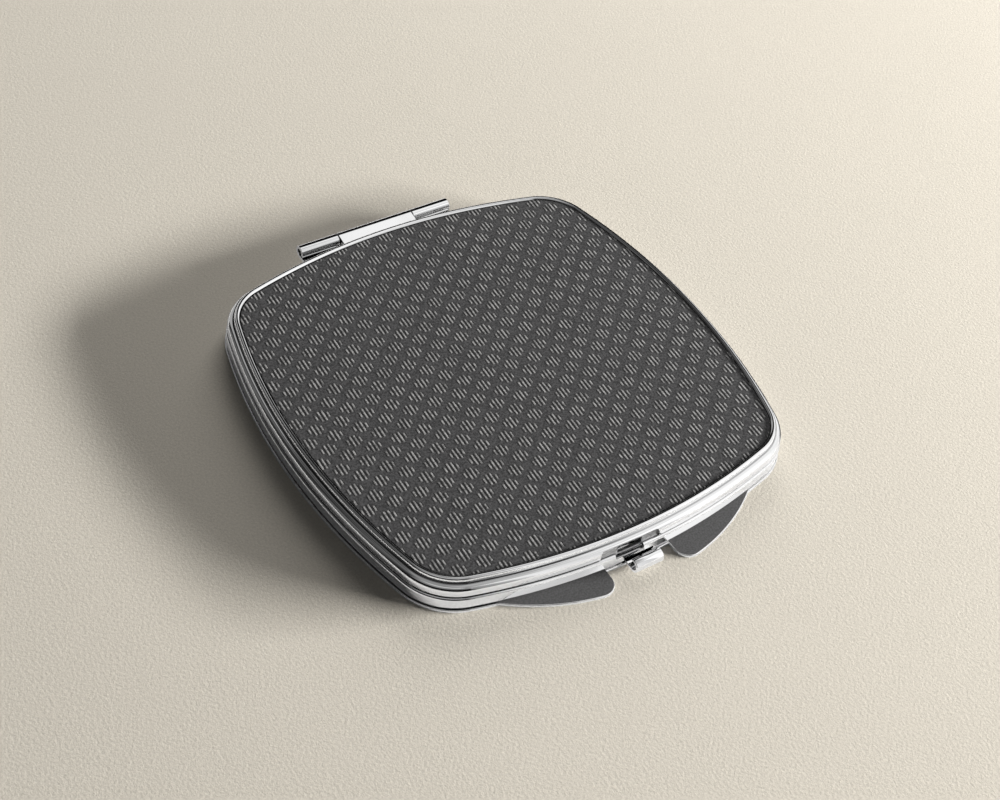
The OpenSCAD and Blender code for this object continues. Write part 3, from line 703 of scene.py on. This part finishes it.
class COMPACT_OT_base_plate(bpy.types.Operator):
    """Base plate with its two finger rests, one sheet with a rounded edge"""
    bl_idname = "compact.base_plate"
    bl_label = "Base plate"

    def execute(self, context):
        thickness = levels()["plate"]
        body_r = SIDE_R + PLATE_REACH
        side = Vector((0, SIDE_BACK))
        # Each finger rest is an arc that ends in a fillet at the gap between them
        ear, ear_r, fillet, gap_half = Vector((2.2, -6.4)), 29.0, 2.0, 4.8
        side_steps, ear_steps, fillet_steps = 8, 40, 16

        def bearing(point, centre):
            return math.degrees(math.atan2(point.y - centre.y, point.x - centre.x))

        def mirrored(centre):
            return Vector((-centre.x, centre.y))

        # Where the ear's arc leaves the side's arc, on the right
        way = side - ear
        along = (ear_r ** 2 - body_r ** 2 + way.length ** 2) / (2 * way.length)
        across = math.sqrt(ear_r ** 2 - along ** 2)
        leave = ear + way.normalized() * along + Vector((way.y, -way.x)).normalized() * across
        # The fillet's centre, and the end of the gap's right edge on the side's arc
        corner_x = gap_half + fillet
        corner = Vector((corner_x, ear.y - math.sqrt((ear_r - fillet) ** 2 - (corner_x - ear.x) ** 2)))
        inner = Vector((gap_half, side.y - math.sqrt(body_r ** 2 - gap_half ** 2)))
        ear_end = bearing(corner, ear)
        side_turn = SEAM - 90 - bearing(leave, side)
        ear_turn = bearing(leave, ear) - ear_end
        fillet_turn = 180 + ear_end
        gap_turn = bearing(inner, side) - bearing(mirrored(inner), side)
        inwards = Vector((0, inner.y - corner.y, 0)) * MM

        piece = draw("base_plate_bright", at_seam([(PLATE_REACH, 0), (PLATE_REACH, thickness)]))
        bpy.ops.mesh.select_all(action="SELECT")
        # Front, from the left: side, ear, fillet, gap, and back out in the same steps
        turn_about(side, side_turn, side_steps)
        turn_about(mirrored(ear), ear_turn, ear_steps)
        turn_about(mirrored(corner), fillet_turn, fillet_steps)
        bpy.ops.mesh.extrude_region_move(TRANSFORM_OT_translate={"value": inwards})
        turn_about(side, gap_turn, side_steps)
        bpy.ops.mesh.extrude_region_move(TRANSFORM_OT_translate={"value": -inwards})
        turn_about(corner, fillet_turn, fillet_steps)
        turn_about(ear, ear_turn, ear_steps)
        turn_about(side, side_turn, side_steps)
        spin_round(first_side=False)
        close_up()
        soften(piece, in_mm("plate_edge"), 3, 50)
        complete(piece, "base", "case_chrome", "base_plate")
        dress({"ear_facings": "ear_facing"})
        # The polished walls of the real case don't show the dark facings
        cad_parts["ear_facings"].visible_glossy = False
        return {"FINISHED"}


def knuckle(name, x0, x1, side, front, foot_z, bore, slope=0.0):
    """A sheet leaf with a knuckle rolled at its end. Side 1 leaves at the barrel's top and falls by the
    slope in degrees on its way to the lid, and side -1 leaves at its bottom. A foot at the front end
    turns away from the leaf's inner face to its height."""
    at = levels()
    y, z = at["hinge_y"], at["hinge"]
    bend, fall = 0.3, math.radians(slope)

    def leaf_height(way, depth):
        """Height of the leaf at a distance in front of the pin, at a depth under its outer face."""
        return z + side * ((BARREL_R - depth) / math.cos(fall) - way * math.tan(fall))

    outline = arc(y, z, BARREL_R, side * (90 + slope), side * -ROLL_END, 6)
    outline += arc(y, z, max(bore, BARREL_R - LEAF_T), side * -ROLL_END, side * (90 + slope), 6)
    outline += arc(front + bend, leaf_height(y - front - bend, LEAF_T) + side * bend, bend,
                   -90 * side, -180 * side, 15)
    outline += [(front, foot_z), (front + LEAF_T, foot_z),
                (front + LEAF_T, leaf_height(y - front - LEAF_T, 0))]
    piece = strip(name, outline, x0, x1)
    soften(piece, in_mm("small_edge"), 2, 50)
    return piece


class COMPACT_OT_hinge(bpy.types.Operator):
    """Hinge: three rolled knuckles on their leaves, and the pin"""
    bl_idname = "compact.hinge"
    bl_label = "Hinge"

    def execute(self, context):
        at = levels()
        lid_bore, base_bore, lid_slope, lid_shorter = 0.53, 0.51, 10, 0.1
        middle, end = at["lid_leaf"], at["base_leaves"]
        lid_end = middle - lid_shorter
        lid = knuckle("lid_knuckle", -lid_end, lid_end, 1, LID_LEAF_Y, at["web"], lid_bore, lid_slope)
        complete(lid, "lid", "hinge_chrome", "lid_hinge_leaf")
        front = mm_of("base_hinge_leaves", LOW, Y)
        left = knuckle("left_knuckle", -end, -middle - PLAY, -1, front, at["plate"], base_bore)
        right = knuckle("right_knuckle", middle + PLAY, end, -1, front, at["plate"], base_bore)
        complete(join("base_knuckles", left, right), "base", "hinge_chrome", "base_hinge_leaves")
        pin_end, pin_edge = mm_of("hinge_pin", HIGH, X), 0.1
        bpy.ops.mesh.primitive_cylinder_add(
            vertices=48, radius=PIN_R * MM, depth=2 * pin_end * MM, rotation=(0, math.radians(90), 0),
            location=Vector((0, at["hinge_y"], at["hinge"])) * MM)
        pin = bpy.context.object
        pin.name = pin.data.name = "hinge_pin_wire"
        bpy.ops.object.transform_apply(location=True, rotation=True, scale=True)
        soften(pin, pin_edge, 3, 50)
        complete(pin, "base", "pin_steel", "hinge_pin")
        return {"FINISHED"}


class COMPACT_OT_keeper(bpy.types.Operator):
    """Steel keeper in the window of the lid's wall: a bowed plate with a tongue, slotted for the catch"""
    bl_idname = "compact.keeper"
    bl_label = "Keeper"

    def execute(self, context):
        (x0, _, low), (x1, _, top) = (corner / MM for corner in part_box("keeper_plate"))
        at = levels()
        back, thickness, middle, steps, lift = 1.04, 0.35, (x0 + x1) / 2, 12, 0.02

        def bowed(name, left, right, z0, z1):
            """A plate that follows the front wall from left to right."""
            start, end = (math.degrees(math.asin(x / (SIDE_R + back))) - 90 for x in (left, right))
            way = Vector((math.cos(math.radians(start)), math.sin(math.radians(start))))
            face = back + thickness
            corners = [(*(way * (SIDE_R + d) + Vector((0, SIDE_BACK))), z)
                       for d, z in ((back, z0), (face, z0), (face, z1), (back, z1))]
            piece = draw(name, corners, closed=True)
            bpy.ops.mesh.select_all(action="SELECT")
            turn_about((0, SIDE_BACK), end - start, steps)
            close_up()
            return piece

        keeper = bowed("keeper_satin", x0, x1, at["lid"] + lift, top)
        # Its rounded upper corners: the short edges at the top of both ends, which run through the sheet
        corner_r, corner_steps, top_within, end_within, slant, depth = 0.48, 6, 0.05, 0.03, 0.06, 0.1
        bpy.ops.object.mode_set(mode="EDIT")
        bpy.ops.mesh.select_mode(type="EDGE")
        bpy.ops.mesh.select_all(action="DESELECT")
        bpy.ops.object.mode_set(mode="OBJECT")
        points = keeper.data.vertices
        ends = (min(v.co.x for v in points), max(v.co.x for v in points))
        for edge in keeper.data.edges:
            a, b = (points[i].co for i in edge.vertices)
            at_top = min(a.z, b.z) > (top - top_within) * MM
            at_end = any(abs(a.x - x) < end_within * MM for x in ends)
            through = abs(a.x - b.x) < slant * MM and abs(a.y - b.y) > depth * MM
            edge.select = at_top and at_end and through
        bpy.ops.object.mode_set(mode="EDIT")
        bpy.ops.mesh.bevel(offset=corner_r * MM, segments=corner_steps, affect="EDGES")
        bpy.ops.object.mode_set(mode="OBJECT")
        tongue_half, bar_below, bar_above = 2.0, 0.32, 0.2
        slot_half, slot_along, slot_corner = 1.78, (-33, -30), 0.12
        tongue = bowed("tongue", middle - tongue_half, middle + tongue_half, low, at["web"])
        combine(keeper, "UNION", (tongue,))
        slot = block("slot", (middle - slot_half, middle + slot_half), slot_along,
                     (low + bar_below, top - bar_above), slot_corner, Y)
        combine(keeper, "DIFFERENCE", (slot,))
        soften(keeper, in_mm("small_edge") * 0.8, 2, 40)
        complete(keeper, "lid", "keeper_steel", "keeper_plate")
        return {"FINISHED"}


class COMPACT_OT_catch(bpy.types.Operator):
    """Catch: lever with its curled thumb tab, bracket, pin, spring and rivets"""
    bl_idname = "compact.catch"
    bl_label = "Catch"

    def execute(self, context):
        front, half = mm_of("catch_lever", LOW, Y), mm_of("catch_lever", HIGH, X)
        low, top = mm_of("catch_lever", LOW, Z), mm_of("catch_lever", HIGH, Z)
        pin_y, pin_z = middle_of("catch_pin", Y), middle_of("catch_pin", Z)
        y, z = front + TAB_R, low + TAB_R
        outline = ([(pin_y, low)] + arc(y, z, TAB_R, -90, CURL_END, 6)
                   + arc(y, z, TAB_R - LEVER_T, CURL_END, -90, 6) + [(pin_y, low + LEVER_T)])
        lever = strip("thumb_tab", outline, -half, half)
        soften(lever, in_mm("small_edge") * 1.4, 3, 50)
        # Behind the wall: the roll round the catch's pin, and on its left half the arm with the nose
        roll_r, arm_left, bore_r = pin_z - low, -3.0, 0.3
        arm_y, arm_low = pin_y + roll_r, pin_z + roll_r * 0.75
        nose_y, nose_z = -30.7, top - 0.3
        rear = arc(pin_y, pin_z, roll_r, 0, -270, 8) + [
            (arm_y - LEVER_T, arm_low), (arm_y - LEVER_T, nose_z), (nose_y, nose_z), (nose_y, top), (arm_y, top)]
        arm = strip("lever_knuckle", rear, arm_left, 0.0)
        roll = strip("lever_knuckle_side", arc(pin_y, pin_z, roll_r, 0, 350, 10), 0.0, half)
        combine(lever, "UNION", (arm, roll))
        bore = strip("bore", arc(pin_y, pin_z, bore_r, 0, 345, 15), arm_left - 2 * PAST, half + 2 * PAST)
        combine(lever, "DIFFERENCE", (bore,))
        lever.name = lever.data.name = "catch_lever_chromed"
        complete(lever, "catch", "hinge_chrome", "catch_lever")
        dress({"catch_bracket": "keeper_steel", "catch_pin": "pin_steel", "catch_spring": "pin_steel",
               "catch_rivets": "pin_steel"})
        return {"FINISHED"}


def mirror_frame(name, base, up, height, reach):
    """Channel-shaped frame on the sheet at the height base: a flat rim with a lip over the glass and
    two legs. It stands up from the sheet where up is 1 and hangs from it where up is -1."""
    lip, leg, leg_t, rim_t, lip_r, edge_r = -4.2, -3.58, 0.35, 0.2, 0.09, 0.15
    under = height - rim_t
    outline = (arc(lip + lip_r, height - lip_r, lip_r, 180, 90, 15)
               + arc(reach - edge_r, height - edge_r, edge_r, 90, 0, 15)
               + [(reach, 0), (reach - leg_t, 0), (reach - leg_t, under), (leg + leg_t, under), (leg + leg_t, 0),
                  (leg, 0), (leg, under), (lip, under)])
    return ring(name, [(d, base + up * z) for d, z in outline])


class COMPACT_OT_mirrors(bpy.types.Operator):
    """Both mirrors with their frames, tapes and board"""
    bl_idname = "compact.mirrors"
    bl_label = "Mirrors"

    def execute(self, context):
        at = levels()
        flat_from = -MIRROR_INSET - MIRROR_BEVEL
        # Flat mirror, face down in the closed lid
        top, low = at["web"] - TAPE_T, mm_of("lid_mirror", LOW, Z)
        profile = [(flat_from, top), (-MIRROR_INSET, top), (-MIRROR_INSET, low + BEVEL_DEEP), (flat_from, low)]
        complete(tray("lid_mirror_glass", profile), "lid", "mirror_glass", "lid_mirror")
        # Magnifying mirror: its hollow is a shallow part of a sphere
        glass_t, dish_r, ball_r, rings, spokes = 1.1, 24.6, 900.0, 12, 96
        low = at["board"] + TAPE_T
        top = low + glass_t
        profile = [(flat_from, low), (-MIRROR_INSET, low), (-MIRROR_INSET, top - BEVEL_DEEP), (flat_from, top)]
        glass = tray("base_mirror_glass", profile)
        centre = top + math.sqrt(ball_r ** 2 - dish_r ** 2)
        reaches = [dish_r * i / rings for i in range(rings + 1)]
        bowl = [(x, 0, centre - math.sqrt(ball_r ** 2 - x ** 2)) for x in reaches]
        cutter = draw("bowl", bowl + [(dish_r, 0, top + 2 * PAST), (0, 0, top + 2 * PAST)], closed=True)
        turn_about((0, 0), 360, spokes)
        close_up(fill=False)
        combine(glass, "DIFFERENCE", (cutter,))
        complete(glass, "base", "mirror_glass", "base_mirror")

        # The lid's frame, with rooms for the keeper, for the foot of the hinge leaf and for the lever's nose
        nose_across, nose_along, nose_deep, nose_corner = (-3.6, 0.6), (-32.4, -28.9), 0.4, 0.2
        keeper_half, keeper_along, foot_back, foot_corner = 4.9, (-32.2, -30.5), 31.7, 0.1
        reach, lift, leaf, under = 1.15, 0.05, at["lid_leaf"] + CLEAR, at["lid"] - PAST
        lid_frame = mirror_frame("lid_frame_stamped", at["web"], -1, at["web"] - at["lid"] - lift, reach)
        up = (under, at["web"] + PAST)
        combine(lid_frame, "DIFFERENCE", (
            block("keeper_room", (KEEPER_X - keeper_half, KEEPER_X + keeper_half), keeper_along, up),
            block("foot_room", (-leaf, leaf), (LID_LEAF_Y - CLEAR, foot_back), up, foot_corner, Z),
            block("nose_room", nose_across, nose_along, (under, at["lid"] + nose_deep), nose_corner, Z)))
        complete(lid_frame, "lid", "frame_chrome", "lid_mirror_frame")

        # The base's frame, with rooms under its rim for the catch and for the feet of the hinge leaves
        reach, rim_t, wide, catch_along, feet_along = 1.3, 0.2, 0.5, (-32.4, -30), (29.4, 32.4)
        rim_top = mm_of("base_mirror_frame", HIGH, Z)
        base_frame = mirror_frame("base_frame_stamped", at["board"], 1, rim_top - at["board"], reach)
        left, right = at["bracket"]
        leaves, under_rim = at["base_leaves"] + wide, (at["plate"], rim_top - rim_t)
        combine(base_frame, "DIFFERENCE", (
            block("catch_room", (left - wide, right + wide), catch_along, under_rim),
            block("feet_room", (-leaves, leaves), feet_along, under_rim),
            block("nose_room", nose_across, nose_along, (rim_top - nose_deep, rim_top + PAST), nose_corner, Z)))
        complete(base_frame, "base", "frame_chrome", "base_mirror_frame")
        dress({"lid_mirror_tape": "tape", "base_mirror_tape": "tape", "mirror_board": "board"})
        return {"FINISHED"}


# What polished metal sees round the case, as (bearing in degrees, grey level) pairs. Bearings go from
# the hinge's side over the right. A white window side is on the right and in front, dark walls are on
# the left, and the ceiling is grey.
WALLS = (
    (-180, 130), (-174, 118), (-150, 110), (-128, 125), (-98, 115), (-86, 95), (-82, 50), (-70, 70), (-64, 95),
    (-59, 50), (-44, 45), (-40, 85), (-27, 85), (-24, 40), (-18, 45), (-15, 150), (4, 155), (8, 45), (14, 28),
    (54, 28), (58, 235), (62, 200), (70, 240), (95, 225), (118, 248), (141, 252), (145, 200), (160, 214),
    (169, 228), (173, 150), (180, 130))
UPPER_WALLS = (
    (-180, 190), (-115, 180), (-80, 100), (-50, 95), (-38, 85), (-34, 45), (-14, 50), (-10, 90), (14, 90),
    (17, 45), (34, 55), (39, 200), (47, 235), (58, 235), (85, 230), (115, 218), (140, 195), (160, 150),
    (180, 130))
CEILING = ((-180, 130), (60, 130), (80, 165), (130, 160), (160, 140), (180, 130))


def lamp(name, toward, distance, size, watts):
    """A soft lamp that looks at the case from a direction."""
    place = Vector(toward).normalized() * distance
    bpy.ops.object.light_add(type="AREA", location=place)
    light = bpy.context.object
    light.name = name
    light.rotation_euler = place.to_track_quat("Z", "Y").to_euler()
    light.data.shape, light.data.size, light.data.size_y = "RECTANGLE", *size
    light.data.energy, light.data.color = watts, linear("#FFFDFA")
    # The room's white side stands for it in polished metal
    light.visible_glossy = False


def light_room():
    """A dim world for plain surfaces, which polished metal sees as the room."""
    world = bpy.data.worlds.new("studio")
    bpy.context.scene.world = world
    world.use_nodes = True
    tree = world.node_tree
    tree.nodes.clear()
    add = partial(add_node, tree)
    x, y, height = add("SeparateXYZ", (add("TexCoord", out="Generated"),)).node.outputs
    # From 0 at the front over the left, the hinge's side at 0.5 and the right to 1 at the front
    bearing = add("Math", (x, y), operation="ARCTAN2")
    bearing = add("Math", (bearing, math.tau), operation="DIVIDE")
    bearing = add("Math", (bearing, 0.5), operation="ADD")

    # Metal that gives back this share of the light shows the grey levels as they are written above
    gamma, given_back = 2.2, 0.8

    def seen_round(stops):
        """The colour of the room at each bearing."""
        seen = add("ValToRGB", (bearing,))
        elements = seen.node.color_ramp.elements
        while len(elements) < len(stops):
            elements.new(0.5)
        for element, (degrees, grey) in zip(elements, stops):
            level = (grey / 255) ** gamma / given_back
            element.position, element.color = degrees / 360 + 0.5, (level, level, level, 1)
        return seen

    walls, upper, ceiling = (seen_round(stops) for stops in (WALLS, UPPER_WALLS, CEILING))
    # Dark edge of a table on the camera's side
    table_height = 0.31
    off = add("Math", (height, table_height), operation="SUBTRACT")
    off = add("Math", (off,), operation="ABSOLUTE")
    table = add("MapRange", (off, 0.24, 0.27, 1.0, 0.0), **SOFT)
    side = add("MapRange", (bearing, 0.27, 0.3, 1.0, 0.0), **SOFT)
    table = add("Math", (table, side), operation="MULTIPLY")
    walls = add("Mix", {0: table, 6: walls, 7: (0.01, 0.01, 0.01, 1)}, **IN_COLOUR)
    high = add("MapRange", (height, 0.79, 0.82), **SOFT)
    walls = add("Mix", {0: high, 6: walls, 7: upper}, **IN_COLOUR)
    overhead = add("MapRange", (height, 0.9, 0.94), **SOFT)
    room = add("Mix", {0: overhead, 6: walls, 7: ceiling}, **IN_COLOUR)
    in_metal = add("LightPath", out="Is Glossy Ray")
    shown = add("Mix", {0: in_metal, 6: (0.04, 0.04, 0.04, 1), 7: room}, **IN_COLOUR)
    add("OutputWorld", {"Surface": add("Background", {"Color": shown, "Strength": 1.0})})


def place_camera():
    """The photograph's view: bearing, height and roll in degrees, the point looked at and the distance."""
    azimuth, elevation, roll = (math.radians(a) for a in (-39.2733, 45.8884, 9.0778))
    looked_at, distance = Vector((-3.579, -4.692, 4.76)), 231.615
    back = Vector((math.sin(azimuth) * math.cos(elevation), -math.cos(azimuth) * math.cos(elevation),
                   math.sin(elevation)))
    right = (-back).cross(Vector((0, 0, 1))).normalized()
    up = right.cross(-back)
    right, up = right * math.cos(roll) + up * math.sin(roll), up * math.cos(roll) - right * math.sin(roll)
    bpy.ops.object.camera_add(location=looked_at * MM + back * distance * MM)
    camera = bpy.context.object
    camera.name = "camera"
    camera.rotation_euler = Matrix((right, up, back)).transposed().to_euler()
    camera.data.sensor_width, camera.data.lens = 36, 64.348
    camera.data.clip_start = 0.01
    bpy.context.scene.camera = camera


class COMPACT_OT_stage(bpy.types.Operator):
    """Paper, studio light and the camera"""
    bl_idname = "compact.stage"
    bl_label = "Stage"

    def execute(self, context):
        select_nothing()
        bpy.ops.mesh.primitive_plane_add(size=4, location=(0, 0, 0))
        floor = context.object
        floor.name = floor.data.name = "paper"
        floor.data.materials.append(material_for("paper"))
        lamp("window_light", (0.83, -0.53, 0.21), 0.8, (0.45, 0.06), 22.0)
        lamp("side_glow", (0.64, 0.77, 0.58), 0.6, (0.4, 0.4), 2.2)
        light_room()
        place_camera()
        context.scene.view_settings.view_transform = "Standard"
        return {"FINISHED"}


class COMPACT_PT_panel(bpy.types.Panel):
    """The compact's pieces, sizes and colours"""
    bl_idname = "COMPACT_PT_panel"
    bl_label = "Compact mirror"
    bl_space_type = "VIEW_3D"
    bl_region_type = "UI"
    bl_category = "Compact"

    def draw(self, context):
        for group in (context.scene.compact_sizes, context.scene.compact_colours):
            box = self.layout.box()
            for name in group.__annotations__:
                box.prop(group, name)
        for operator in PIECES:
            self.layout.operator(operator.bl_idname)


PIECES = (COMPACT_OT_lid_shell, COMPACT_OT_panel, COMPACT_OT_base_shell, COMPACT_OT_base_plate, COMPACT_OT_hinge,
          COMPACT_OT_keeper, COMPACT_OT_catch, COMPACT_OT_mirrors, COMPACT_OT_stage)
CLASSES = (CompactSizes, CompactColours, *PIECES, COMPACT_PT_panel)


def register():
    for one in CLASSES:
        bpy.utils.register_class(one)
    bpy.types.Scene.compact_sizes = PointerProperty(type=CompactSizes)
    bpy.types.Scene.compact_colours = PointerProperty(type=CompactColours)


def unregister():
    del bpy.types.Scene.compact_sizes
    del bpy.types.Scene.compact_colours
    for one in reversed(CLASSES):
        bpy.utils.unregister_class(one)


def main():
    register()
    for operator in PIECES:
        group, name = operator.bl_idname.split(".")
        getattr(getattr(bpy.ops, group), name)()
    bpy.context.view_layer.update()


if __name__ == "__main__":
    main()
